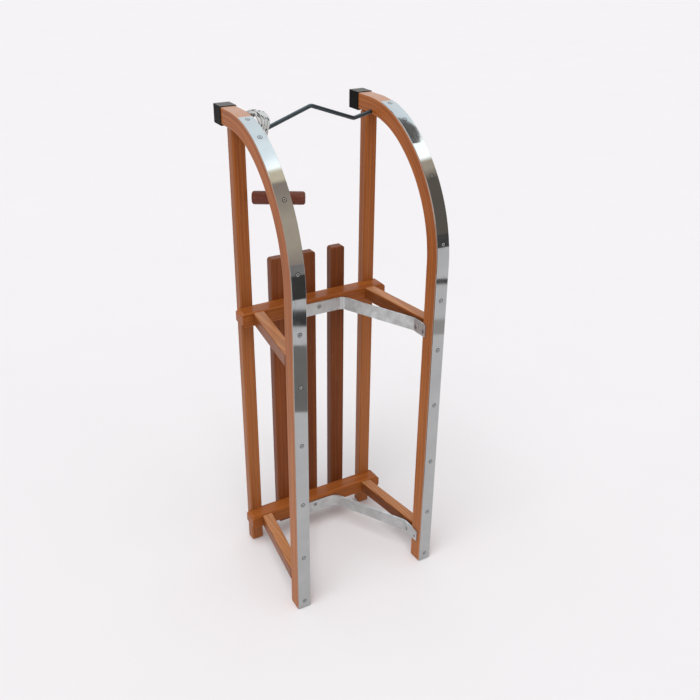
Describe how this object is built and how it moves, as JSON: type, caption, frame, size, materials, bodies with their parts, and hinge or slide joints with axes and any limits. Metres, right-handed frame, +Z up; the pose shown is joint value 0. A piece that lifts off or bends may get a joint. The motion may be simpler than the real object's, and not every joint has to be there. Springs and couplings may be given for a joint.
{
  "type": "wooden sled",
  "caption": "Wooden sled with bent runners, steel shoes, slatted seat, splayed legs and a draw bow, parked upright on its tail with its tow rope wound up.",
  "frame": {"origin": "on the ground, under the middle of the upright sled's box", "axes": "+Z up, the way the sled points; +X across it, to its left when it is ridden; +Y from the running faces to the seat"},
  "size_m": [0.3384, 0.3246, 1],
  "materials": {
    "varnished_beech": "satin varnish",
    "shaded_beech": "satin varnish",
    "polished_steel": "mirror bright",
    "zinc_plated_steel": "dull zinc",
    "dark_steel": "dark, lightly worn",
    "black_plastic": "matt",
    "flecked_rope": "braided, with dark flecks",
    "turned_handle": "varnished"
  },
  "bodies": {
    "root": {"runner_left": "varnished_beech", "runner_right": "varnished_beech", "rail_left": "varnished_beech", "rail_right": "varnished_beech", "leg_front_left": "varnished_beech", "leg_front_right": "varnished_beech", "leg_rear_left": "varnished_beech", "leg_rear_right": "varnished_beech", "beam_front": "varnished_beech", "beam_rear": "varnished_beech", "slat_1": "shaded_beech", "slat_2": "shaded_beech", "slat_3": "shaded_beech", "shoe_left": "polished_steel", "shoe_right": "polished_steel", "brace_front": "zinc_plated_steel", "brace_rear": "zinc_plated_steel", "cap_left": "black_plastic", "cap_right": "black_plastic", "draw_bow": "dark_steel", "rope_winding": "flecked_rope", "rope_strand": "flecked_rope", "rope_knot": "flecked_rope", "tow_handle": "turned_handle"}
  },
  "joints": []
}
